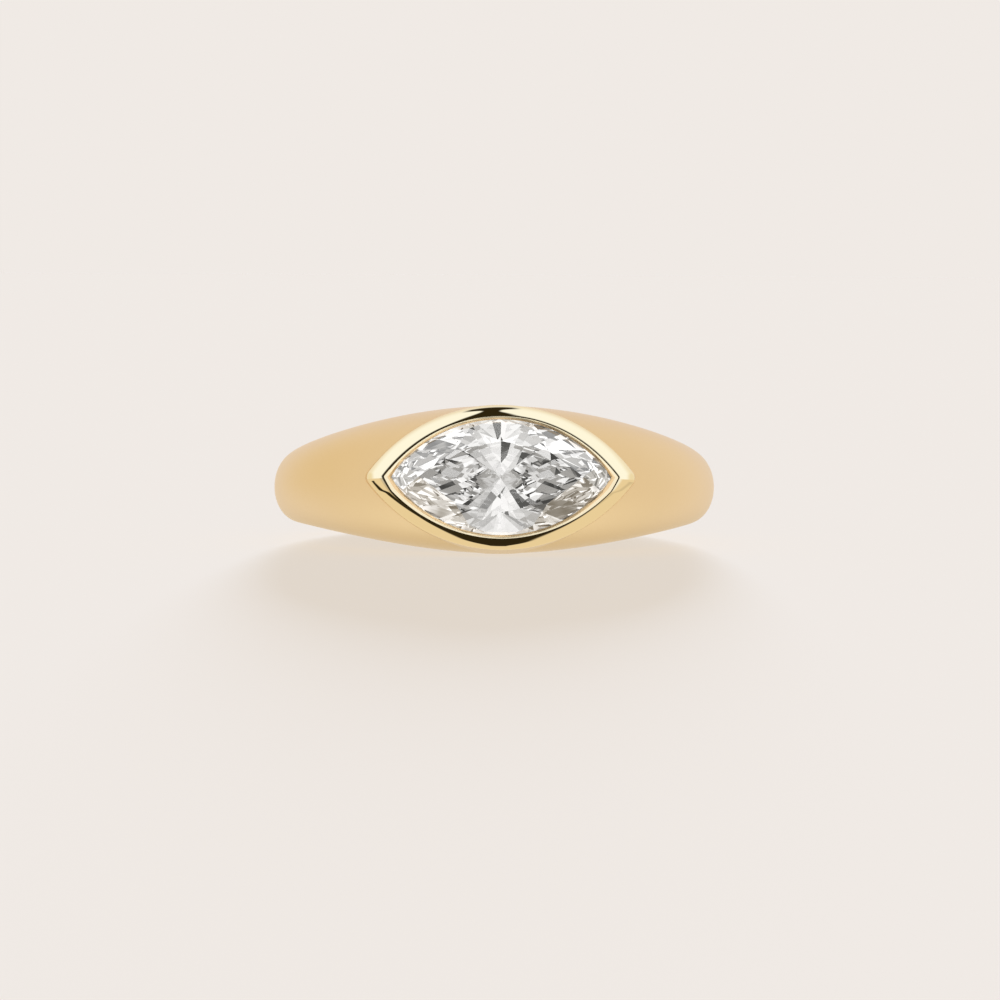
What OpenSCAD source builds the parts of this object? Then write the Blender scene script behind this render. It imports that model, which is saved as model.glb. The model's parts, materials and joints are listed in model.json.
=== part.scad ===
// A yellow gold pinky ring with a marquise stone set east-west in a bezel.
// The ring is drawn about its finger axis, with the stone facing -Y, and is then laid on its side.

/* [Finger hole] */
// Diameter of the finger hole
bore_d = 15.7; // [14:0.1:18]
// Rounding where the finger hole meets the sides of the band
inner_edge = 0.35; // [0.25:0.05:0.45]

/* [Band] */
// Half the width of the band under the stone
head_half_width = 3.15; // [3.1:0.05:3.3]
// Half the width of the band at the back of the finger
back_half_width = 1.45; // [1.3:0.05:1.6]
// How quickly the width falls from the stone to the back
width_taper = 8; // [6:0.5:8.5]
// Thickness of the band under the stone, before the seat is cut
head_thickness = 3.75; // [3.6:0.05:3.8]
// Thickness of the band at the back of the finger
back_thickness = 1.5; // [1.3:0.05:1.7]
// How quickly the thickness falls from the stone to the back
thickness_taper = 6; // [5:0.5:7]
// Fullness of the band's dome, where 1 is half an ellipse and less is fuller
dome_fullness = 0.8; // [0.7:0.05:1]

/* [Stone] */
// Length of the stone at its girdle
stone_length = 9.7; // [9.5:0.1:9.8]
// Width of the stone at its girdle
stone_width = 5.2; // [5.1:0.05:5.3]
// Depth of the pavilion, from the girdle to the culet
pavilion_depth = 2.2; // [2.1:0.05:2.25]
// Thickness of the girdle
girdle_thickness = 0.13; // [0.1:0.01:0.16]
// Height of the crown, from the girdle to the table
crown_height = 0.62; // [0.5:0.02:0.7]
// Length of the table against the girdle's
table_length_share = 0.72; // [0.68:0.01:0.74]
// Width of the table against the girdle's
table_width_share = 0.58; // [0.54:0.01:0.62]
// How far down the crown the star facets reach, as a share of its height
star_share = 0.5; // [0.4:0.02:0.6]
// How far up from the culet the main pavilion facets meet, as a share of the depth
lower_half_share = 0.78; // [0.7:0.02:0.85]

/* [Bezel] */
// Length of the bezel, to where the curves of its two sides would meet
bezel_length = 11.55; // [11.4:0.05:11.8]
// Width of the bezel
bezel_width = 6.15; // [6.1:0.05:6.25]
// How far each tip is rounded back
tip_round = 0.1; // [0.06:0.02:0.2]
// Width of the rounded rim, from its outer side in
rim_round = 0.72; // [0.6:0.02:0.8]
// Drop of the rounded rim from its crest to its shoulder
rim_drop = 0.42; // [0.35:0.01:0.5]
// Spread of the bezel's wall from its shoulder to its foot
wall_flare = 0.12; // [0.04:0.02:0.12]
// How far the bezel's lip covers the stone
lip_cover = 0.15; // [0.12:0.01:0.18]
// Width of the bright-cut slope inside the rim
bright_cut = 0.16; // [0.1:0.01:0.2]
// Height of the crest above the girdle
crest_height = 0.33; // [0.3:0.01:0.36]
// Width of the ledge that the stone sits on
seat_ledge = 0.46; // [0.4:0.02:0.5]
// Slant of the hole under the stone, from the ledge to the finger hole
gallery_slant = 0.7; // [0.6:0.05:0.8]

/* [Hidden] */

stations = 96;          // sections round the band
dome_steps = 16;        // flats across the band's dome
arc_fn = 128;
stone_gap = 0.03;       // clearance between the stone and its metal
culet_clear = 0.15;     // from the finger hole to the culet
inner_cut = 0.6;        // how far the drawn band reaches into the finger hole before boring
bore_reach = 20;        // length of the boring tool
bezel_foot = 0.55;      // from the finger hole to the bezel's foot, inside the band

bore_r = bore_d / 2;
edge_r = bore_r + inner_edge;              // radius at which the band is widest
culet_h = bore_r + culet_clear;            // heights are measured from the finger axis
girdle_low = culet_h + pavilion_depth;
girdle_top = girdle_low + girdle_thickness;
table_h = girdle_top + crown_height;
crest_h = girdle_top + crest_height;
shoulder_h = crest_h - rim_drop;
ledge_h = girdle_low - seat_ledge;

// A marquise outline is two arcs that meet at the tips: their radius, and their middle's offset
function arc_radius(long, wide) = (long * long + wide * wide) / (4 * wide);
girdle_arc = arc_radius(stone_length, stone_width);
stone_offset = girdle_arc - stone_width / 2;
tip_angle = asin(stone_length / 2 / girdle_arc);    // sweep of each arc from its middle to a tip
opening_arc = girdle_arc - lip_cover;
crest_arc = opening_arc + bright_cut;
bezel_arc = arc_radius(bezel_length, bezel_width);
bezel_offset = bezel_arc - bezel_width / 2;

// The ring lies on the band's lower edge at the stone and at the back
rest_tilt = atan((head_half_width - back_half_width) / (2 * edge_r));
rest_lift = head_half_width * cos(rest_tilt) - edge_r * sin(rest_tilt);
table_lean = table_width_share * stone_width / 2 * sin(rest_tilt);
rest_shift = ((table_h - bore_r - back_thickness) * cos(rest_tilt) + table_lean) / 2;

// Half width and outer radius of the band, at an angle round the finger from the stone
function fade(angle, power) = pow(abs(cos(angle / 2)), power);
function half_width(angle) =
    back_half_width + (head_half_width - back_half_width) * fade(angle, width_taper);
function crown_radius(angle) =
    bore_r + back_thickness + (head_thickness - back_thickness) * fade(angle, thickness_taper);

// One section of the band, as [radius, height along the finger], from the lower inner corner
function corner(angle, side) = [for (a = side > 0 ? [60, 30] : [30, 60])
    [edge_r - inner_edge * sin(a), side * (half_width(angle) - inner_edge * (1 - cos(a)))]];
function inner_point(angle, side) =
    [bore_r - inner_cut, side * (half_width(angle) - 2 * inner_edge)];
function dome(angle) = [for (i = [0 : dome_steps]) let (t = 180 * i / dome_steps)
    [edge_r + (crown_radius(angle) - edge_r) * pow(sin(t), dome_fullness), -half_width(angle) * cos(t)]];
function section(angle) = concat([inner_point(angle, -1)], corner(angle, -1),
    dome(angle), corner(angle, 1), [inner_point(angle, 1)]);

// Turns a section's point to its place round the finger, with the stone's side at -Y
function placed(p, angle) = [p[0] * sin(angle), -p[0] * cos(angle), p[1]];

module band_blank() {
    rings = [for (s = [0 : stations - 1]) let (angle = 360 * s / stations)
        [for (p = section(angle)) placed(p, angle)]];
    across = len(rings[0]);
    at = function (s, k) (s % stations) * across + k % across;
    faces = [for (s = [0 : stations - 1], k = [0 : across - 1])
        each [[at(s, k), at(s, k + 1), at(s + 1, k + 1)], [at(s, k), at(s + 1, k + 1), at(s + 1, k)]]];
    polyhedron(points = [for (r = rings) each r], faces = faces);
}

// A marquise-shaped body whose side follows a profile of [distance from the arc's middle, height]
module marquise_body(profile, offset) {
    rotate([90, 0, 0]) intersection_for(side = [-1, 1])
        translate([0, side * offset, 0]) rotate_extrude($fn = arc_fn) polygon(profile);
}

module bezel_blank() {
    foot_h = bore_r + bezel_foot;
    round_rim = [for (a = [0 : 15 : 90])
        [bezel_arc - rim_round * (1 - cos(a)), shoulder_h + rim_drop * sin(a)]];
    intersection() {
        marquise_body(concat([[0, foot_h], [bezel_arc + wall_flare, foot_h]], round_rim, [[0, crest_h]]),
            bezel_offset);
        rotate([90, 0, 0]) cylinder(r = bezel_length / 2 - tip_round, h = bore_reach, $fn = arc_fn);
    }
}

// The room for the stone: the bright cut, the groove for the girdle, the ledge and the open gallery
module stone_room() {
    lip_h = girdle_top + crest_height / 2;
    groove = girdle_arc + stone_gap;
    marquise_body([
        [0, bore_r - inner_cut],
        [groove - seat_ledge - gallery_slant, bore_r - inner_cut],
        [groove - seat_ledge, ledge_h],
        [groove, girdle_low - stone_gap],
        [groove, girdle_top + stone_gap],
        [opening_arc, lip_h],
        [crest_arc, crest_h],
        [crest_arc, crest_h + 1],
        [0, crest_h + 1]], stone_offset);
}

module band_with_bezel() {
    color([0.87, 0.72, 0.45]) difference() {
        union() {
            band_blank();
            bezel_blank();
        }
        stone_room();
        cylinder(r = bore_r, h = bore_reach, center = true, $fn = arc_fn);
    }
}

// Corner k of the 16-sided girdle, from the tip at k = 0 to the belly at k = 4 and on round,
// and the way that the outline faces there
function arc_turn(k) = tip_angle * (1 - abs((k % 8) <= 4 ? k % 8 : 8 - k % 8) / 4);
function sign_x(k) = (k % 16 < 4 || k % 16 > 12) ? 1 : -1;
function sign_y(k) = (k % 16 <= 8) ? 1 : -1;
function girdle_corner(k) = [sign_x(k) * girdle_arc * sin(arc_turn(k)),
    sign_y(k) * (girdle_arc * cos(arc_turn(k)) - stone_offset)];
function faces_way(k) = k % 8 == 0 ? [sign_x(k), 0]
    : [sign_x(k) * sin(arc_turn(k)), sign_y(k) * cos(arc_turn(k))];

// Where the main facets through girdle corners i and j cross, at a share of the way to their inner ends,
// which are the girdle's corners drawn in to inner, a share of the length and one of the width
function drawn_in(p, inner) = [p[0] * inner[0], p[1] * inner[1]];
function main_line(k, share, inner) = let (p = girdle_corner(k))
    faces_way(k) * (p + share * (drawn_in(p, inner) - p));
function cross_point(i, j, share, inner) =
    let (u = faces_way(i), v = faces_way(j), e = main_line(i, share, inner),
         f = main_line(j, share, inner), d = u[0] * v[1] - u[1] * v[0])
    [(e * v[1] - f * u[1]) / d, (f * u[0] - e * v[0]) / d];
function at_height(p, h) = [p[0], p[1], h];

module marquise_stone() {
    corners = [for (k = [0 : 15]) girdle_corner(k)];
    evens = [for (k = [0 : 2 : 14]) k];
    table_size = [table_length_share, table_width_share];
    table = [for (k = evens) at_height(drawn_in(corners[k], table_size), table_h)];
    stars = [for (k = evens) at_height(cross_point(k, k + 2, 1 - star_share, table_size),
        table_h - star_share * crown_height)];
    upper = [for (p = corners) at_height(p, girdle_top)];
    lower = [for (p = corners) at_height(p, girdle_low)];
    meets = [for (k = evens) at_height(cross_point(k + 15, k + 1, lower_half_share, [0, 0]),
        girdle_low - lower_half_share * pavilion_depth)];
    points = concat(table, stars, upper, lower, meets, [[0, 0, culet_h]]);
    t = 0;
    s = 8;
    u = 16;
    l = 32;
    m = 48;
    culet = 56;
    crown = [for (i = [0 : 7]) let (n = (i + 1) % 8, b = (i + 7) % 8, k = 2 * i) each [
        [t + n, t + i, s + i],
        [t + i, s + b, u + k, s + i],
        [s + i, u + k, u + k + 1],
        [s + i, u + k + 1, u + (k + 2) % 16]]];
    girdle = [for (k = [0 : 15]) let (n = (k + 1) % 16) [u + k, l + k, l + n, u + n]];
    pavilion = [for (i = [0 : 7]) let (n = (i + 1) % 8, k = 2 * i) each [
        [culet, m + n, l + k + 1, m + i],
        [m + i, l + k + 1, l + k],
        [m + i, l + k, l + (k + 15) % 16]]];
    color([0.95, 0.96, 0.97]) rotate([90, 0, 0])
        polyhedron(points, concat([[for (i = [0 : 7]) t + i]], crown, girdle, pavilion));
}

// Lays the ring on its side, resting on z = 0
module lying() {
    translate([0, rest_shift, rest_lift]) rotate([-rest_tilt, 0, 0]) children();
}

lying() band_with_bezel();
lying() marquise_stone();
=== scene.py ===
import json
import math

import bmesh
import bpy
from mathutils import Matrix, Vector


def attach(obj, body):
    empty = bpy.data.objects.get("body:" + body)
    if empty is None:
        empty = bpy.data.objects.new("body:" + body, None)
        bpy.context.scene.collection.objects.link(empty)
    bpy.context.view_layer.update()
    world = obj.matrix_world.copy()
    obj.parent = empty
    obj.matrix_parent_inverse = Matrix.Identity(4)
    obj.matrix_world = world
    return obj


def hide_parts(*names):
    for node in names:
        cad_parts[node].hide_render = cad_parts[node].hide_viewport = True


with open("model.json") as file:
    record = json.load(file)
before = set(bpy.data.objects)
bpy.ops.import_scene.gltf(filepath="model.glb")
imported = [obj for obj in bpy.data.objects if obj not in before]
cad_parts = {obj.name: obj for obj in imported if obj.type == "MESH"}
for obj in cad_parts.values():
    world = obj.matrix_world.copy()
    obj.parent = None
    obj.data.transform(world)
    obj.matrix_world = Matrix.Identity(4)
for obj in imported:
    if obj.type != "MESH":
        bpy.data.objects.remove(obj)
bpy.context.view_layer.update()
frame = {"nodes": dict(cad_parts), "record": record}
print("frame loaded")

mm = 0.001
fullTurn = 2 * math.pi
quarterTurn = math.pi / 2

# The ring is drawn about its finger axis with the stone towards -Y, and then laid down as the frame says
fingerBore = next(m for m in frame["record"]["mounts"] if m["name"] == "finger_bore")
fingerAxis = Vector(fingerBore["axis"]).normalized()
lean = math.atan2(fingerAxis.y, fingerAxis.z)
ringPlace = Matrix.Translation(Vector(fingerBore["pos_m"])) @ Matrix.Rotation(-lean, 4, "X")
boreRadius = fingerBore["dims"]["r_mm"]


# Shader helpers
class Value:  # one socket of a shader, so that its maths reads as maths
    def __init__(self, nodes, socket):
        self.nodes = nodes
        self.socket = socket

    def maths(self, operation, *values):
        return self.nodes.add("ShaderNodeMath", {"operation": operation}, dict(enumerate(values)))

    def __add__(self, other):
        return self.maths("ADD", self, other)

    def __radd__(self, other):
        return self.maths("ADD", other, self)

    def __sub__(self, other):
        return self.maths("SUBTRACT", self, other)

    def __rsub__(self, other):
        return self.maths("SUBTRACT", other, self)

    def __mul__(self, other):
        return self.maths("MULTIPLY", self, other)

    def __rmul__(self, other):
        return self.maths("MULTIPLY", other, self)

    def __truediv__(self, other):
        return self.maths("DIVIDE", self, other)

    def __rtruediv__(self, other):
        return self.maths("DIVIDE", other, self)

    def __pow__(self, other):
        return self.maths("POWER", self, other)

    def __rpow__(self, other):
        return self.maths("POWER", other, self)

    def __abs__(self):
        return self.maths("ABSOLUTE", self)


class Nodes:  # a material's or the world's nodes
    def __init__(self, owner):
        owner.use_nodes = True
        self.tree = owner.node_tree
        self.tree.nodes.clear()

    def add(self, kind, settings=None, sockets=None, output=0):
        node = self.tree.nodes.new(kind)
        for name, setting in (settings or {}).items():
            if name == "stops":
                self.setStops(node.color_ramp, setting)
            else:
                setattr(node, name, setting)
        for name, value in (sockets or {}).items():
            if isinstance(value, Value):
                self.tree.links.new(value.socket, node.inputs[name])
            else:
                node.inputs[name].default_value = value
        return Value(self, node.outputs[output]) if node.outputs else node

    def setStops(self, ramp, stops):
        while len(ramp.elements) < len(stops):
            ramp.elements.new(1)
        for element, (place, colour) in zip(ramp.elements, stops):
            element.position = place
            element.color = colour

    def between(self, value, low, high):  # 0 at low, 1 at high, smooth between, either way round
        return self.add("ShaderNodeMapRange", {"interpolation_type": "SMOOTHSTEP"},
                        {0: value, 1: low, 2: high})

    def mixColour(self, factor, first, second):
        return self.add("ShaderNodeMix", {"data_type": "RGBA"}, {0: factor, 6: first, 7: second}, 2)

    def noise(self, scale, detail):
        place = self.add("ShaderNodeTexCoord", output="Object")
        return self.add("ShaderNodeTexNoise", {}, {"Vector": place, "Scale": scale, "Detail": detail})

    def dot(self, first, second):
        return self.add("ShaderNodeVectorMath", {"operation": "DOT_PRODUCT"}, {0: first, 1: second}, "Value")

    def rays(self, name):  # what the light path says of the ray
        return self.add("ShaderNodeLightPath", output=name)

    def mixShader(self, factor, first, second):
        return self.add("ShaderNodeMixShader", {}, {0: factor, 1: first, 2: second})


# Camera, at the photograph's angle to the stone
view = {
    "distance": 230 * mm,       # from the stone's table
    "azimuth": -1.85,           # degrees, a little to the ring's left
    "elevation": 3.49,          # degrees above the floor
    "roll": 0.3,                # degrees, the ring's right side down
    "pixelsPerMm": 23.66,       # at the stone's table
    "stoneAt": (501.5, 476.7),  # the table's middle in the picture
    "picture": 1000,            # width and height of the picture
    "sensor": 36,               # millimetres
    "clipStart": 1 * mm,
}


def viewAxes():  # the camera's right, up and back
    turn, rise = math.radians(view["azimuth"]), math.radians(view["elevation"])
    back = Vector((math.sin(turn) * math.cos(rise), -math.cos(turn) * math.cos(rise), math.sin(rise)))
    level = Vector((math.cos(turn), math.sin(turn), 0))
    rolled = Matrix.Rotation(math.radians(view["roll"]), 3, back)
    return rolled @ level, rolled @ level.cross(-back), back


def makeCamera(tableMiddle):
    right, up, back = viewAxes()
    halfPicture = view["picture"] / 2
    across = (view["stoneAt"][0] - halfPicture) / view["pixelsPerMm"] * mm
    down = (view["stoneAt"][1] - halfPicture) / view["pixelsPerMm"] * mm
    data = bpy.data.cameras.new("camera")
    data.sensor_width = view["sensor"]
    data.lens = view["sensor"] * view["pixelsPerMm"] * view["distance"] / mm / view["picture"]
    data.clip_start = view["clipStart"]
    camera = bpy.data.objects.new("camera", data)
    bpy.context.scene.collection.objects.link(camera)
    camera.rotation_mode = "QUATERNION"
    camera.rotation_quaternion = Matrix((right, up, back)).transposed().to_quaternion()
    camera.location = tableMiddle - right * across + up * down + back * view["distance"]
    bpy.context.scene.camera = camera


# Sizes in millimetres, the same as the solids' unless a note says otherwise
band = {
    "headHalfWidth": 3.15,
    "backHalfWidth": 1.45,
    "widthTaper": 8,
    "headThickness": 3.75,
    "backThickness": 1.5,
    "thicknessTaper": 6,
    "domeFullness": 0.8,
    "innerEdge": 0.35,          # the rounding at the finger hole
    "boreMargin": 0.01,         # what still counts as the finger hole's wall
    "sections": 360,
    "domeSteps": 64,
    "edgeSteps": 8,
    "boreSteps": 12,
    "sharpAngle": 32,           # degrees; steeper edges stay sharp
}
stone = {
    "length": 9.7,
    "width": 5.2,
    "pavilionDepth": 2.2,
    "girdleThickness": 0.13,
    "crownHeight": 0.62,
    "culetClear": 0.15,
    "gap": 0.03,
}
bezel = {
    "length": 11.55,            # to where its two arcs would meet
    "width": 6.15,
    "outerTipRadius": 0.4,      # rounder than the solid's
    "innerTipRadius": 0.05,
    "rimDrop": 0.42,
    "wallFlare": 0.12,
    "lipCover": 0.15,
    "brightCut": 0.16,
    "rimTurn": 86,              # degrees; the solid's rim goes on to 90, where it lies flat
    "cutShare": 0.45,           # of the way from crest to lip, where the bright cut ends
    "cutDrop": 0.043,
    "lipDrop": 0.185,           # from the crest to the lip that touches the stone
    "crestTopShare": 0.987,     # how far up the crest goes, against the marquise
    "crestFullness": 0.002,     # how much the lower crest swells towards the tips, per mm cubed
    "crestSwellDepth": 0.4,
    "crestTipReach": 0.1,       # how much further out the crest's tips are than the marquise's
    "crestTipPower": 6,         # high, so that only the tips reach out
    "crestHeight": 0.33,
    "seatLedge": 0.46,
    "gallerySlant": 0.7,
    "foot": 0.55,
    "innerCut": 0.6,
    "roomMargin": 0.15,         # from the crest's outline to the room cut in the band, in the bezel's wall
    "roomFoot": 0.1,            # from the bezel's foot up to the start of that room
    "roomStep": 0.05,
    "roomTop": 3,               # clear of all that is cut
    "arcSteps": 72,
    "tipSteps": 10,
    "rimSteps": 18,
    "wallSteps": 6,
    "sharpAngle": 28,
}


def arcRadius(length, width):
    return (length ** 2 + width ** 2) / (4 * width)


# Heights are measured from the finger axis
girdleArc = arcRadius(stone["length"], stone["width"])
stoneOffset = girdleArc - stone["width"] / 2
openingArc = girdleArc - bezel["lipCover"]
crestArc = openingArc + bezel["brightCut"]
bezelArc = arcRadius(bezel["length"], bezel["width"])
bezelOffset = bezelArc - bezel["width"] / 2
girdleLow = boreRadius + stone["culetClear"] + stone["pavilionDepth"]
girdleTop = girdleLow + stone["girdleThickness"]
tableHeight = girdleTop + stone["crownHeight"]
crestHeight = girdleTop + bezel["crestHeight"]
shoulderHeight = crestHeight - bezel["rimDrop"]
cutHeight = crestHeight - bezel["cutDrop"]
lipHeight = crestHeight - bezel["lipDrop"]
ledgeHeight = girdleLow - bezel["seatLedge"]
footHeight = boreRadius + bezel["foot"]
grooveArc = girdleArc + stone["gap"]
ledgeArc = grooveArc - bezel["seatLedge"]
galleryArc = ledgeArc - bezel["gallerySlant"]
galleryLow = boreRadius - bezel["innerCut"]

makeCamera(ringPlace @ Vector((0, -tableHeight * mm, 0)))
print("camera set")


# Mesh helpers
def skin(name, rings, closedAlong=True, uvRings=None):  # a piece from closed rings of points, in millimetres
    mesh = bpy.data.meshes.new(name)
    across, along = len(rings[0]), len(rings)
    spans = along if closedAlong else along - 1
    faces = []
    for s in range(spans):
        n = (s + 1) % along
        for k in range(across):
            m = (k + 1) % across
            faces.append((s * across + k, s * across + m, n * across + m, n * across + k))
    points = [ringPlace @ (Vector(point) * mm) for ring in rings for point in ring]
    mesh.from_pydata(points, [], faces)
    if uvRings:
        layer = mesh.uv_layers.new(name="UVMap")
        for s in range(spans):
            for k in range(across):
                corner = (s * across + k) * 4
                for c, (i, j) in enumerate(((s, k), (s, k + 1), (s + 1, k + 1), (s + 1, k))):
                    layer.data[corner + c].uv = uvRings(i, j)
    piece = bpy.data.objects.new(name, mesh)
    bpy.context.scene.collection.objects.link(piece)
    return piece


def smoothOutwards(piece, sharpAngle):
    work = bmesh.new()
    work.from_mesh(piece.data)
    bmesh.ops.recalc_face_normals(work, faces=work.faces)
    for face in work.faces:
        face.smooth = True
    for edge in work.edges:
        edge.smooth = len(edge.link_faces) == 2 and edge.calc_face_angle(0) < math.radians(sharpAngle)
    work.to_mesh(piece.data)
    work.free()


def capped(name, rings):  # a closed solid from its rings, with flat ends
    piece = skin(name, rings, closedAlong=False)
    count, last = len(rings[0]), len(rings) - 1
    work = bmesh.new()
    work.from_mesh(piece.data)
    work.verts.ensure_lookup_table()
    work.faces.new([work.verts[k] for k in range(count)])
    work.faces.new([work.verts[last * count + k] for k in range(count)])
    bmesh.ops.recalc_face_normals(work, faces=work.faces)
    work.to_mesh(piece.data)
    work.free()
    return piece


def cutAway(piece, cutter):
    difference = piece.modifiers.new("cut", "BOOLEAN")
    difference.operation = "DIFFERENCE"
    difference.solver = "EXACT"
    difference.object = cutter
    result = bpy.data.meshes.new_from_object(piece.evaluated_get(bpy.context.evaluated_depsgraph_get()))
    piece.modifiers.clear()
    piece.data = result
    bpy.data.objects.remove(cutter)


# Marquise outlines: two arcs that meet at rounded tips
def marquise(arc, offset, tipRadius):
    tangent = math.acos(offset / (arc - tipRadius))
    quarter = []
    for i in range(bezel["arcSteps"] + 1):
        t = tangent * i / bezel["arcSteps"]
        quarter.append((arc * math.sin(t), arc * math.cos(t) - offset))
    middle = (arc - tipRadius) * math.sin(tangent)
    for i in range(1, bezel["tipSteps"] + 1):
        t = (quarterTurn - tangent) * (1 - i / bezel["tipSteps"])
        quarter.append((middle + tipRadius * math.cos(t), tipRadius * math.sin(t)))
    lowerRight = [(x, -z) for x, z in reversed(quarter[:-1])]
    left = [(-x, z) for x, z in reversed((quarter + lowerRight)[1:-1])]
    return quarter + lowerRight + left


def crestShape(outline):  # the crest isn't quite the stone's marquise: flatter at the top, fuller below
    points = []
    for x, z in outline:
        swell = bezel["crestFullness"] * abs(x) ** 3 * min(1, max(0, -z) / bezel["crestSwellDepth"])
        reach = bezel["crestTipReach"] * (abs(x) / stone["length"] * 2) ** bezel["crestTipPower"]
        points.append((x + math.copysign(reach, x), z * bezel["crestTopShare"] if z > 0 else z - swell))
    return points


def mixOutlines(first, second, share):
    return [(a[0] + (b[0] - a[0]) * share, a[1] + (b[1] - a[1]) * share) for a, b in zip(first, second)]


def atHeight(outline, height):
    return [(x, -height, z) for x, z in outline]


def seatOutline(arc):  # an outline that follows the stone's
    return marquise(arc, stoneOffset, bezel["innerTipRadius"])


def slantArc(height):  # the gallery's wall, on its way from the finger hole to the ledge
    share = (height - galleryLow) / (ledgeHeight - galleryLow)
    return galleryArc + (ledgeArc - galleryArc) * share


# The satin band
def fade(angle, power):
    return abs(math.cos(angle / 2)) ** power


def halfWidth(angle):
    extra = (band["headHalfWidth"] - band["backHalfWidth"]) * fade(angle, band["widthTaper"])
    return band["backHalfWidth"] + extra


def crownRadius(angle):
    extra = (band["headThickness"] - band["backThickness"]) * fade(angle, band["thicknessTaper"])
    return boreRadius + band["backThickness"] + extra


def bandSection(angle):  # (radius, height along the finger) points round the section
    half, crown, edge = halfWidth(angle), crownRadius(angle), boreRadius + band["innerEdge"]
    rounding = band["innerEdge"]
    points = []
    for i in range(band["domeSteps"] + 1):
        t = math.pi * i / band["domeSteps"]
        rise = max(0, math.sin(t)) ** band["domeFullness"]
        points.append((edge + (crown - edge) * rise, -half * math.cos(t)))
    for i in range(1, band["edgeSteps"] + 1):
        t = quarterTurn * i / band["edgeSteps"]
        points.append((edge - rounding * math.sin(t), half - rounding * (1 - math.cos(t))))
    for i in range(1, band["boreSteps"]):
        points.append((boreRadius, (half - rounding) * (1 - 2 * i / band["boreSteps"])))
    for i in range(band["edgeSteps"]):
        t = quarterTurn * (1 - i / band["edgeSteps"])
        points.append((edge - rounding * math.sin(t), -half + rounding * (1 - math.cos(t))))
    return points


def makeRoom():  # what the band loses to the gallery and, hidden in the bezel's wall, to the stone's seat
    wall = seatOutline(crestArc + bezel["roomMargin"])
    roomLow = footHeight + bezel["roomFoot"]
    return capped("room", [
        atHeight(seatOutline(galleryArc), galleryLow),
        atHeight(seatOutline(slantArc(roomLow)), roomLow),
        atHeight(wall, roomLow + bezel["roomStep"]),
        atHeight(wall, crestHeight + bezel["roomTop"]),
    ])


def makeBand():
    rings = []
    for s in range(band["sections"]):
        angle = fullTurn * s / band["sections"]
        rings.append([(r * math.sin(angle), -r * math.cos(angle), z) for r, z in bandSection(angle)])
    across = len(rings[0])
    piece = skin("satin_band", rings, uvRings=lambda i, j: (i / band["sections"], j / across))
    cutAway(piece, makeRoom())
    smoothOutwards(piece, band["sharpAngle"])
    toRing = ringPlace.inverted()
    reach = [(toRing @ point.co).xy.length / mm for point in piece.data.vertices]
    for face in piece.data.polygons:
        if all(reach[v] < boreRadius + band["boreMargin"] for v in face.vertices):
            face.material_index = 1  # the finger hole's wall is burnished
    return piece


# The polished bezel
def makeBezel():
    rings = []
    for i in range(bezel["wallSteps"]):
        share = i / bezel["wallSteps"]
        outline = marquise(bezelArc + bezel["wallFlare"] * (1 - share), bezelOffset, bezel["outerTipRadius"])
        rings.append(atHeight(outline, footHeight + (shoulderHeight - footHeight) * share))
    rimOutline = marquise(bezelArc, bezelOffset, bezel["outerTipRadius"])
    crestOutline = crestShape(seatOutline(crestArc))
    rimTurn = math.radians(bezel["rimTurn"])
    for i in range(bezel["rimSteps"] + 1):
        t = rimTurn * i / bezel["rimSteps"]
        height = shoulderHeight + bezel["rimDrop"] * math.sin(t) / math.sin(rimTurn)
        share = (1 - math.cos(t)) / (1 - math.cos(rimTurn))
        rings.append(atHeight(mixOutlines(rimOutline, crestOutline, share), height))
    cutStart = len(rings) - 1
    opening = seatOutline(openingArc)
    rings.append(atHeight(mixOutlines(crestOutline, opening, bezel["cutShare"]), cutHeight))
    rings.append(atHeight(opening, lipHeight))
    rings.append(atHeight(seatOutline(grooveArc), girdleTop + stone["gap"]))
    rings.append(atHeight(seatOutline(grooveArc), girdleLow - stone["gap"]))
    rings.append(atHeight(seatOutline(ledgeArc), ledgeHeight))
    rings.append(atHeight(seatOutline(slantArc(footHeight)), footHeight))
    piece = skin("polished_bezel", rings)
    for face in piece.data.polygons:
        ring = face.index // len(crestOutline)
        if ring < bezel["wallSteps"]:
            face.material_index = 1  # the wall is satin like the band
        elif ring == cutStart:
            face.material_index = 2  # the bright cut
        elif ring == cutStart + 1:
            face.material_index = 3  # the lip
    smoothOutwards(piece, bezel["sharpAngle"])
    return piece


# Finishes
gold = {
    "satinColour": (0.81, 0.595, 0.315, 1),
    "satinDeep": (0.78, 0.57, 0.295, 1),
    "satinRoughness": 0.42,
    "satinSpread": 0.10,        # how far clouds and grain move the roughness
    "cloudScale": 260,
    "cloudDetail": 3,
    "grainScale": 9000,
    "grainDetail": 2,
    "grainStrength": 0.25,
    "grainDepth": 0.006 * mm,
    "polishColour": (0.891, 0.832, 0.632, 1),
    "polishDeep": (0.881, 0.812, 0.602, 1),
    "cutColour": (1.0, 0.90, 0.64, 1),
    "cutDeep": (0.96, 0.84, 0.57, 1),
    "lipColour": (1.0, 0.74, 0.43, 1),
    "lipDeep": (0.86, 0.62, 0.34, 1),
    "boreColour": (0.86, 0.65, 0.36, 1),
    "boreDeep": (0.80, 0.59, 0.31, 1),
    "burnishedRoughness": 0.16,
    "burnishedSpread": 0.06,
    "burnishedScale": 1600,
    "burnishedDetail": 2,
    "seatColour": (0.5, 0.485, 0.46, 1),  # painted glow: where the gold beneath the stone is seen through it, it glows this flat pale grey instead of reflecting
}
clearCut = {
    "index": 2.417,
    "facetSpread": (9.7, 7.3, 12.1),  # how fast the painted glow's tone changes with the facet's direction
    "patchScale": 1500,
    "patchDetail": 1,
    "patchShare": 0.9,
    "innerBounces": 5.5,        # rays older than this see the facet glow with its painted tone instead of reflecting
    # the painted tones that the facets glow with deep inside the stone
    "tones": [(0.0, (0.07, 0.07, 0.068, 1)), (0.25, (0.19, 0.187, 0.18, 1)), (0.45, (0.42, 0.41, 0.39, 1)),
              (0.62, (0.82, 0.81, 0.80, 1)), (0.85, (1.25, 1.24, 1.22, 1))],
}


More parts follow.
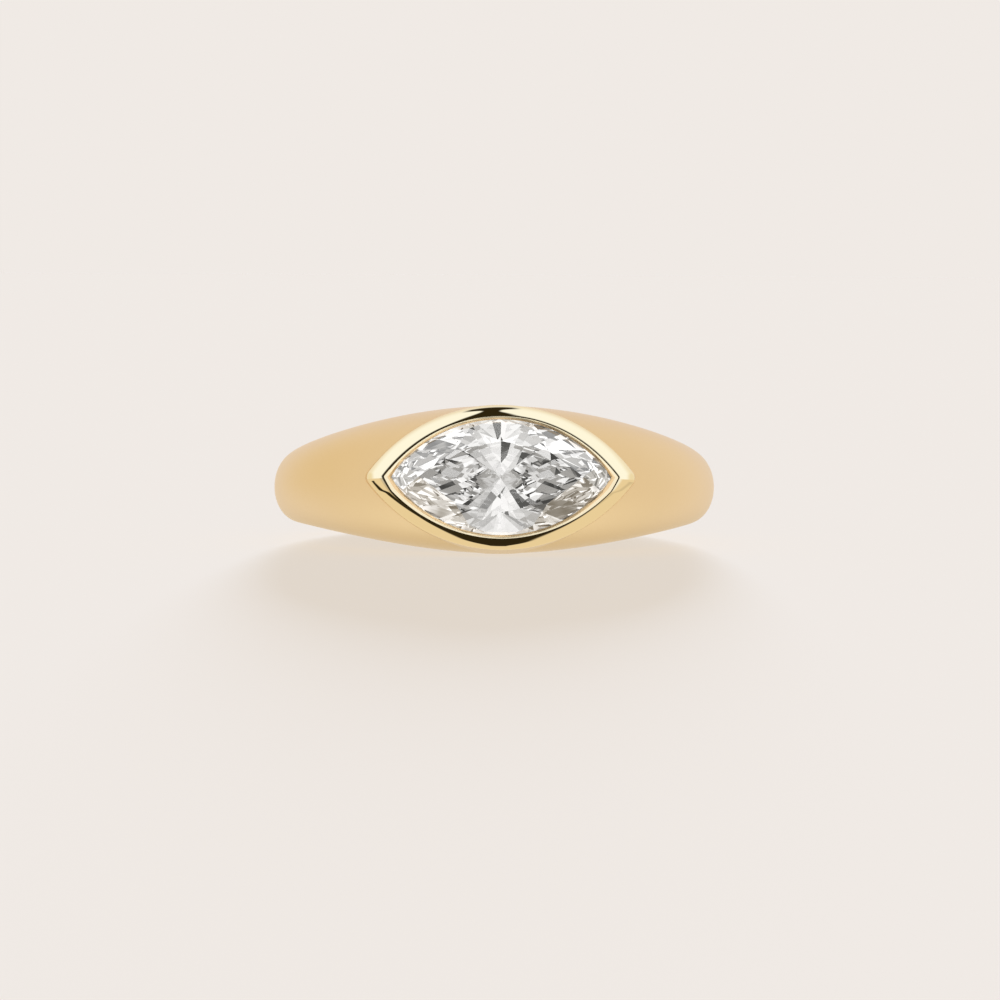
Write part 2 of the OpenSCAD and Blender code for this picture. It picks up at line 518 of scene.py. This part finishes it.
def throughStone(nodes):  # 1 for a ray that has come through the stone, 0 for any other
    depth = nodes.rays("Transmission Depth")
    return depth.maths("GREATER_THAN", depth, 0.5)


def finishGold(nodes, sockets):  # metal, but where it is seen through the stone's facets it is a painted pale glow, not metal
    shader = nodes.add("ShaderNodeBsdfPrincipled", {}, {"Metallic": 1.0, **sockets})
    # painted glow in place of the gold's reflections, for rays that came through the stone
    seatGlow = nodes.add("ShaderNodeEmission", {}, {"Color": gold["seatColour"]})
    surface = nodes.mixShader(throughStone(nodes), shader, seatGlow)
    nodes.add("ShaderNodeOutputMaterial", {}, {"Surface": surface})


def satinGold():
    material = bpy.data.materials.new("satin gold")
    nodes = Nodes(material)
    cloud = nodes.noise(gold["cloudScale"], gold["cloudDetail"])
    grain = nodes.noise(gold["grainScale"], gold["grainDetail"])
    colour = nodes.mixColour(cloud, gold["satinDeep"], gold["satinColour"])
    spread = gold["satinSpread"]
    roughness = gold["satinRoughness"] + spread * (cloud - 0.5) + spread * (grain - 0.5)
    bump = nodes.add("ShaderNodeBump", {}, {
        "Strength": gold["grainStrength"], "Distance": gold["grainDepth"], "Height": grain})
    finishGold(nodes, {"Base Color": colour, "Roughness": roughness, "Normal": bump})
    return material


def polishedGold():  # a perfect mirror: only such rays see the studio's details
    material = bpy.data.materials.new("polished gold")
    nodes = Nodes(material)
    cloud = nodes.noise(gold["cloudScale"], gold["cloudDetail"])
    colour = nodes.mixColour(cloud, gold["polishDeep"], gold["polishColour"])
    finishGold(nodes, {"Base Color": colour, "Roughness": 0.0})
    return material


def burnishedGold(name, light, deep):  # rubbed by hand, a little softer than the rim
    material = bpy.data.materials.new(name)
    nodes = Nodes(material)
    grain = nodes.noise(gold["burnishedScale"], gold["burnishedDetail"])
    colour = nodes.mixColour(grain, deep, light)
    roughness = gold["burnishedRoughness"] + gold["burnishedSpread"] * (grain - 0.5)
    finishGold(nodes, {"Base Color": colour, "Roughness": roughness})
    return material


def clearStone():  # painted reflections: deep inside the stone each facet glows with a painted tone, set by its direction and a noise patch, in place of what it would reflect
    material = bpy.data.materials.new("clear stone")
    nodes = Nodes(material)
    glass = nodes.add("ShaderNodeBsdfPrincipled", {}, {
        "Base Color": (1, 1, 1, 1), "Roughness": 0.0, "IOR": clearCut["index"], "Transmission Weight": 1.0})
    facing = nodes.add("ShaderNodeNewGeometry", output="True Normal")
    patch = nodes.noise(clearCut["patchScale"], clearCut["patchDetail"])
    turned = nodes.dot(facing, clearCut["facetSpread"])
    paintedTone = turned.maths("FRACT", turned) + clearCut["patchShare"] * (patch - 0.5)
    colour = nodes.add("ShaderNodeValToRGB", {"stops": clearCut["tones"]}, {0: paintedTone})
    # the facets' painted glow, standing in for the light they would throw back
    facetGlow = nodes.add("ShaderNodeBsdfPrincipled", {}, {
        "Base Color": (0, 0, 0, 1), "Specular IOR Level": 0.0,
        "Emission Color": colour, "Emission Strength": 1.0})
    depth = nodes.rays("Ray Depth")
    surface = nodes.mixShader(depth.maths("GREATER_THAN", depth, clearCut["innerBounces"]), glass, facetGlow)
    nodes.add("ShaderNodeOutputMaterial", {}, {"Surface": surface})
    return material


satin, polish, clear = satinGold(), polishedGold(), clearStone()
brightCut = burnishedGold("bright cut gold", gold["cutColour"], gold["cutDeep"])
lip = burnishedGold("lip gold", gold["lipColour"], gold["lipDeep"])
bore = burnishedGold("bore gold", gold["boreColour"], gold["boreDeep"])

bandPiece = makeBand()
for finish in (satin, bore):
    bandPiece.data.materials.append(finish)
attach(bandPiece, "root")
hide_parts("band_with_bezel")
print("band made")

bezelPiece = makeBezel()
for finish in (polish, satin, brightCut, lip):
    bezelPiece.data.materials.append(finish)
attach(bezelPiece, "root")
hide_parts("band_with_bezel")
print("bezel made")

stonePiece = frame["nodes"]["marquise_stone"]
stonePiece.data.materials.clear()
stonePiece.data.materials.append(clear)
print("stone dressed")


# Floor, backdrop and light
studio = {
    "backdrop": (0.871, 0.823, 0.784),
    "floorRadius": 0.6,
    "floorSides": 128,
    "floorColour": 0.5,
    "floorGlow": 0.6,           # share of the floor's shader that only glows
    "sunShare": (0.135, 0.175, 0.235),  # of the floor's brightness, the part that a shadow takes away
    "skyShare": 0.10,           # and the part that only closeness takes away
    "sunHeight": 5.6,           # degrees above the floor, behind the ring
    "sunTurn": -3,              # degrees, towards the ring's left
    "sunSize": 9,               # degrees across
}


def makeFloor():
    bpy.ops.mesh.primitive_circle_add(
        vertices=studio["floorSides"], radius=studio["floorRadius"], fill_type="NGON")
    floor = bpy.context.object
    floor.name = "floor"
    glowShare = studio["floorGlow"]
    glowing = [level * (1 - sun - studio["skyShare"]) / glowShare
               for level, sun in zip(studio["backdrop"], studio["sunShare"])]
    material = bpy.data.materials.new("floor")
    nodes = Nodes(material)
    grey = studio["floorColour"]
    matte = nodes.add("ShaderNodeBsdfDiffuse", {}, {"Color": (grey, grey, grey, 1)})
    glow = nodes.add("ShaderNodeEmission", {}, {"Color": (*glowing, 1)})
    nodes.add("ShaderNodeOutputMaterial", {}, {"Surface": nodes.mixShader(glowShare, matte, glow)})
    floor.data.materials.append(material)
    floor.visible_glossy = False
    floor.visible_transmission = False
    floor.visible_shadow = False
    return floor


def makeSun(floor):  # soft, low and behind, so that the shadow falls forwards; it lights the floor alone
    height, turn = math.radians(studio["sunHeight"]), math.radians(studio["sunTurn"])
    matte = studio["floorColour"] * (1 - studio["floorGlow"])
    levels = [level * share * math.pi / (matte * math.sin(height))
              for level, share in zip(studio["backdrop"], studio["sunShare"])]
    data = bpy.data.lights.new("back sun", "SUN")
    data.energy = max(levels)
    data.color = [level / max(levels) for level in levels]
    data.angle = math.radians(studio["sunSize"])
    sun = bpy.data.objects.new("back sun", data)
    bpy.context.scene.collection.objects.link(sun)
    sun.rotation_mode = "QUATERNION"
    level = math.cos(height)
    shining = Vector((math.sin(turn) * level, -math.cos(turn) * level, -math.sin(height)))
    sun.rotation_quaternion = shining.to_track_quat("-Z", "Y")
    only = bpy.data.collections.new("sun receivers")
    only.objects.link(floor)
    sun.light_linking.receiver_collection = only


# Light by direction: how far right, up and towards the camera it comes from, each from -1 to 1.
# A pair says where along the direction in its name something starts and where it is complete.
mirrored = {                        # what the polished rim mirrors
    "upperNear": (1.13, 1.13, 1.13, 1),     # the large soft box above
    "upperFar": (0.939, 0.826, 0.681, 1),
    "upperAside": (0.96, 0.84, 0.62, 1),
    "lower": (0.917, 0.740, 0.498, 1),      # the pale table below
    "dark": (0.03, 0.021, 0.008, 1),
    "upperFarFront": (0.5, -0.95),
    "upperAsideRight": (0.6, 0.95),
    "horizon": (-0.06, 0.06),
    "horizonDrop": 0.20,            # lower to the sides
    "waistFront": (0.9, 0.6),       # the dark gap in the soft box narrows half way up
    "wideFront": (0.52, 0.1),       # and widens at its far end
    "gapMiddle": (0.022, -0.022, -0.025),   # at its near end, and how that changes at waist and far end
    "gapWidth": (0.078, -0.028, 0.11),
    "gapSides": (0.75, 1.2),
    "gapUp": (-0.02, 0.02),
    "gapFront": (-0.30, -0.06),
    "ovalSides": (0.65, 1.5),
    "ovalFront": (0, 0.1),
    "lens": (0.03, 0.12, 0.21, 0.26),       # the camera: right, up, half its width, half its height
    "arm": (-0.105, -0.25, 0.10, 0.17),     # the arm to its column's left
    "columnMiddle": 0.02,
    "columnWidth": (0.055, 0.14),   # at its foot, and what it gains
    "columnWideFront": (0.25, 0.7),
    "columnSides": (0.85, 1.15),
    "columnUp": (0.04, -0.04),
    "columnFront": (0.20, 0.30),
    "leftEdge": (0.130, -0.438, 0.898, -0.02),  # the table's far left edge: offset, right, up, outward
    "leftEdgeOutward": (0.8, 0.55),
    "leftEdgeSides": (0.04, 0.07),
    "leftEdgeRight": (-0.14, -0.22),
    "leftEdgeFront": (0.15, 0.35),
    "rightEdge": (0.505, 0.863, -0.021),    # the table's far right edge: right, up, front
    "rightEdgeSides": (0.01, 0.05),
    "rightEdgeRight": (0.12, 0.2),
    "rightEdgeDepth": 0.2,
    "shadeRight": (0.36, 0.16),     # a faint shade beside the camera
    "shadeUp": (0, -0.05),
    "shadeFront": (0.93, 0.97),
    "shadeDepth": 0.3,
}
softened = {                        # what the satin and the burnished gold get
    "front": (0.972, 0.957, 0.97, 1),
    "below": (1.09, 1.12, 1.17, 1),
    "belowUp": (-0.2, -0.9),
    "back": (0.95, 0.965, 1.12, 1),
    "backBelow": (0.79, 0.755, 0.69, 1),
    "backUp": (-0.6, 0.6),
    "frontFront": (-0.5, 0),
    "aside": (1.03, 1.04, 1.12, 1),
    "asideRight": (0.2, 0.75),
    "asideFront": (0.1, -0.65),
    "left": (0.95, 0.905, 0.80, 1),
    "leftRight": (-0.3, -0.85),
    "leftLowUp": (-0.45, 0.1),
    "leftHighUp": (0.95, 0.55),
    "leftNearFront": (0.25, -0.2),
    "leftFarFront": (-1.1, -0.5),
}
refracted = {                       # what the stone gets
    "front": (1.17, 1.155, 1.135, 1),
    "aside": (0.72, 0.71, 0.69, 1),
    "asideRight": (0.3, 0.85),
    "dark": (0.12, 0.12, 0.115, 1),
    "spots": [                      # right, up, size
        (-0.10, 0.11, 0.15),
        (-0.60, 0.04, 0.13),
        (0.41, -0.12, 0.11),
        (0.40, -0.36, 0.08),
    ],
}


def makeWorld():
    world = bpy.data.worlds.new("studio")
    bpy.context.scene.world = world
    nodes = Nodes(world)
    direction = nodes.add("ShaderNodeTexCoord", output="Generated")
    right, up, front = [nodes.dot(direction, axis) for axis in viewAxes()]

    def stripe(value, sides):  # 1 where value is near nothing, 0 beyond the stripe's sides
        return 1 - nodes.between(abs(value), *sides)

    def oval(x, y, wide, high):  # 1 inside a soft oval in front, 0 outside
        reach = ((right - x) / wide) ** 2 + ((up - y) / high) ** 2
        inside = 1 - nodes.between(reach, *mirrored["ovalSides"])
        return inside * nodes.between(front, *mirrored["ovalFront"])

    def mirroredLight():
        upper = nodes.mixColour(
            nodes.between(front, *mirrored["upperFarFront"]), mirrored["upperNear"], mirrored["upperFar"])
        upper = nodes.mixColour(
            nodes.between(abs(right), *mirrored["upperAsideRight"]), upper, mirrored["upperAside"])
        aboveTable = nodes.between(up + mirrored["horizonDrop"] * abs(right), *mirrored["horizon"])
        colour = nodes.mixColour(aboveTable, mirrored["lower"], upper)
        # the dark gap in the soft box
        waist = nodes.between(front, *mirrored["waistFront"])
        widening = nodes.between(front, *mirrored["wideFront"])
        middle, width = [near + atWaist * waist + atFarEnd * widening
                         for near, atWaist, atFarEnd in (mirrored["gapMiddle"], mirrored["gapWidth"])]
        gap = stripe((right - middle) / width, mirrored["gapSides"])
        gap = gap * nodes.between(up, *mirrored["gapUp"]) * nodes.between(front, *mirrored["gapFront"])
        # the camera, its column, and the arm to the column's left
        lens, arm = oval(*mirrored["lens"]), oval(*mirrored["arm"])
        foot, gain = mirrored["columnWidth"]
        columnWidth = foot + gain * nodes.between(front, *mirrored["columnWideFront"])
        column = stripe((right - mirrored["columnMiddle"]) / columnWidth, mirrored["columnSides"])
        column = column * nodes.between(up, *mirrored["columnUp"])
        column = column * nodes.between(front, *mirrored["columnFront"])
        # the far edges of the table, and the shade
        outward = nodes.between(front, *mirrored["leftEdgeOutward"])
        offset, rightShare, upShare, outwardShare = mirrored["leftEdge"]
        leftEdge = stripe(
            offset + rightShare * right + upShare * up + outwardShare * outward, mirrored["leftEdgeSides"])
        leftEdge = leftEdge * nodes.between(right, *mirrored["leftEdgeRight"])
        leftEdge = leftEdge * nodes.between(front, *mirrored["leftEdgeFront"])
        rightShare, upShare, frontShare = mirrored["rightEdge"]
        rightEdge = stripe(
            rightShare * right + upShare * up + frontShare * front, mirrored["rightEdgeSides"])
        rightEdge = mirrored["rightEdgeDepth"] * rightEdge
        rightEdge = rightEdge * nodes.between(right, *mirrored["rightEdgeRight"])
        shade = mirrored["shadeDepth"] * nodes.between(right, *mirrored["shadeRight"])
        shade = shade * nodes.between(up, *mirrored["shadeUp"])
        shade = shade * nodes.between(front, *mirrored["shadeFront"])
        light = 1
        for dark in (gap, lens, column, arm, leftEdge, rightEdge, shade):
            light = light * (1 - dark)
        return nodes.mixColour(light, mirrored["dark"], colour)

    def softLight():
        low, high = nodes.between(up, *softened["belowUp"]), nodes.between(up, *softened["backUp"])
        ahead = nodes.mixColour(low, softened["front"], softened["below"])
        behind = nodes.mixColour(high, softened["backBelow"], softened["back"])
        light = nodes.mixColour(nodes.between(front, *softened["frontFront"]), behind, ahead)
        aside = nodes.between(abs(right), *softened["asideRight"])
        aside = aside * nodes.between(front, *softened["asideFront"])
        light = nodes.mixColour(aside, light, softened["aside"])
        left = nodes.between(right, *softened["leftRight"])
        left = left * nodes.between(up, *softened["leftLowUp"])
        left = left * nodes.between(up, *softened["leftHighUp"])
        left = left * nodes.between(front, *softened["leftNearFront"])
        left = left * nodes.between(front, *softened["leftFarFront"])
        return nodes.mixColour(left, light, softened["left"])

    def stoneLight():
        aside = nodes.between(abs(right), *refracted["asideRight"])
        light = nodes.mixColour(aside, refracted["front"], refracted["aside"])
        bright = 1
        for x, y, size in refracted["spots"]:
            bright = bright * (1 - oval(x, y, size, size))
        return nodes.mixColour(bright, refracted["dark"], light)

    floorMatte = studio["floorColour"] * (1 - studio["floorGlow"])
    sky = [level * studio["skyShare"] / floorMatte for level in studio["backdrop"]]
    result = nodes.mixColour(nodes.rays("Is Singular Ray"), softLight(), mirroredLight())
    result = nodes.mixColour(throughStone(nodes), result, stoneLight())
    result = nodes.mixColour(nodes.rays("Is Diffuse Ray"), result, (*sky, 1))
    result = nodes.mixColour(nodes.rays("Is Camera Ray"), result, (*studio["backdrop"], 1))
    background = nodes.add("ShaderNodeBackground", {}, {"Color": result, "Strength": 1.0})
    nodes.add("ShaderNodeOutputWorld", {}, {"Surface": background})


makeSun(makeFloor())
makeWorld()
scene = bpy.context.scene
scene.view_settings.view_transform = "Standard"
scene.cycles.max_bounces = 32           # many, for the light inside the stone
scene.cycles.transmission_bounces = 32
scene.cycles.glossy_bounces = 16
scene.cycles.use_denoising = True
scene.cycles.caustics_reflective = True
scene.cycles.caustics_refractive = True
print("studio lit")
